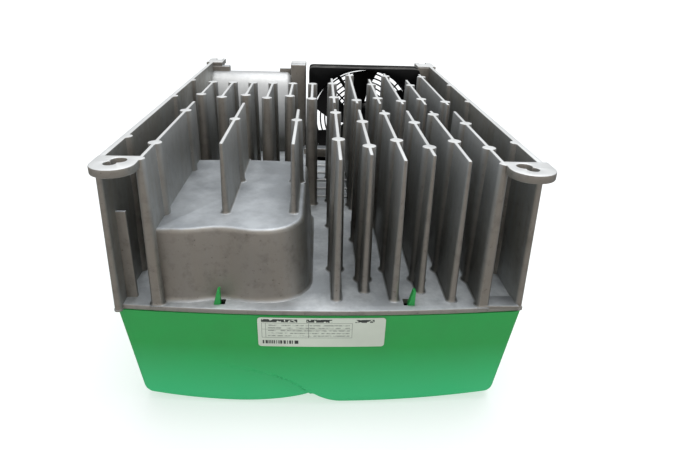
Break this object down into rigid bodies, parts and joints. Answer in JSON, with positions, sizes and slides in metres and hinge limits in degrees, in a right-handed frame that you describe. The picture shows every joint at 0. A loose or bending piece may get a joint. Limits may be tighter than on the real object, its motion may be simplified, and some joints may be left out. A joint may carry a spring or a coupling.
{
  "type": "variable frequency drive",
  "caption": "Wall-mount motor drive: finned die-cast heatsink with slotted feet, moulded front cover with keypad, terminal cover and an axial cooling fan",
  "frame": {"origin": "on the surface the drive lies on, face down, under the middle of its bounding box", "axes": "+Z from the front cover to the mounting face of the feet, +Y from the closed end towards the fan and terminal end, +X to the right when looking along +Y with the fins up"},
  "size_m": [0.253, 0.3866, 0.1702],
  "materials": {
    "casting": "die-cast, bare, satin with ejector marks",
    "green_cover": "fine moulded texture",
    "label": "printed film",
    "zinc_steel": "zinc plated",
    "dark_plastic": "fine moulded texture",
    "black_plastic": "smooth moulded",
    "grey_plastic": "smooth moulded",
    "red_plastic": "smooth moulded",
    "green_button": "smooth moulded",
    "display_window": "tinted, glossy",
    "circuit_board": "solder mask",
    "module_body": "moulded",
    "capacitor_sleeve": "shrink sleeve",
    "lamination": "stacked sheets, varnished",
    "copper": "enamelled wire",
    "brass": "turned",
    "rubber": "matt"
  },
  "bodies": {
    "chassis": {"brake_cable_grommet": "rubber", "choke_clamp_plate": "zinc_steel", "choke_core": "lamination", "choke_winding": "copper", "control_board": "circuit_board", "control_board_spacer_1": "grey_plastic", "control_board_spacer_2": "grey_plastic", "control_board_spacer_3": "grey_plastic", "control_board_spacer_4": "grey_plastic", "control_cable_grommet": "rubber", "control_terminal_block": "dark_plastic", "dc_link_capacitor_1": "capacitor_sleeve", "dc_link_capacitor_2": "capacitor_sleeve", "dc_link_capacitor_3": "capacitor_sleeve", "dc_link_capacitor_4": "capacitor_sleeve", "dc_link_capacitor_5": "capacitor_sleeve", "dc_link_capacitor_6": "capacitor_sleeve", "display_window": "display_window", "fan_frame": "black_plastic", "fan_guard": "black_plastic", "fan_guard_screw_1": "zinc_steel", "fan_guard_screw_2": "zinc_steel", "fan_guard_screw_3": "zinc_steel", "fan_guard_screw_4": "zinc_steel", "front_cover": "green_cover", "gland_plate": "zinc_steel", "heatsink_casting": "casting", "inverter_module": "module_body", "keypad_bezel": "dark_plastic", "keypad_board": "circuit_board", "led_display_module": "black_plastic", "left_cover_screw": "zinc_steel", "motor_cable_grommet": "rubber", "phase_u_current_sensor": "module_body", "phase_w_current_sensor": "module_body", "power_board": "circuit_board", "power_board_standoff_1": "brass", "power_board_standoff_2": "brass", "power_board_standoff_3": "brass", "power_board_standoff_4": "brass", "power_terminal_block": "grey_plastic", "precharge_relay": "black_plastic", "rating_label": "label", "rectifier_module": "module_body", "right_cover_screw": "zinc_steel", "supply_cable_grommet": "rubber", "supply_transformer": "black_plastic"},
    "mode_button": {"mode_button": "grey_plastic"},
    "up_button": {"up_button": "grey_plastic"},
    "down_button": {"down_button": "grey_plastic"},
    "stop_reset_button": {"stop_reset_button": "red_plastic"},
    "start_button": {"start_button": "green_button"},
    "fan_rotor": {"fan_rotor": "black_plastic"},
    "terminal_cover": {"terminal_cover": "dark_plastic"}
  },
  "joints": [
    {"name": "fan_spin", "type": "hinge", "parent": "chassis", "child": "fan_rotor", "pos_m": [0.046, 0.155, 0.11], "axis": [0, 1, 0], "continuous": true},
    {"name": "terminal_cover_hinge", "type": "hinge", "parent": "chassis", "child": "terminal_cover", "pos_m": [0, 0.152, 0.0075], "axis": [1, 0, 0], "range_deg": [0, 90]},
    {"name": "mode_button_press", "type": "slide", "parent": "chassis", "child": "mode_button", "axis": [0, 0, 1], "range_m": [0, 0.001], "stiffness_N_per_m": 400, "springref_m": -0.0005},
    {"name": "up_button_press", "type": "slide", "parent": "chassis", "child": "up_button", "axis": [0, 0, 1], "range_m": [0, 0.001], "stiffness_N_per_m": 400, "springref_m": -0.0005},
    {"name": "down_button_press", "type": "slide", "parent": "chassis", "child": "down_button", "axis": [0, 0, 1], "range_m": [0, 0.001], "stiffness_N_per_m": 400, "springref_m": -0.0005},
    {"name": "stop_reset_button_press", "type": "slide", "parent": "chassis", "child": "stop_reset_button", "axis": [0, 0, 1], "range_m": [0, 0.001], "stiffness_N_per_m": 400, "springref_m": -0.0005},
    {"name": "start_button_press", "type": "slide", "parent": "chassis", "child": "start_button", "axis": [0, 0, 1], "range_m": [0, 0.001], "stiffness_N_per_m": 400, "springref_m": -0.0005}
  ]
}
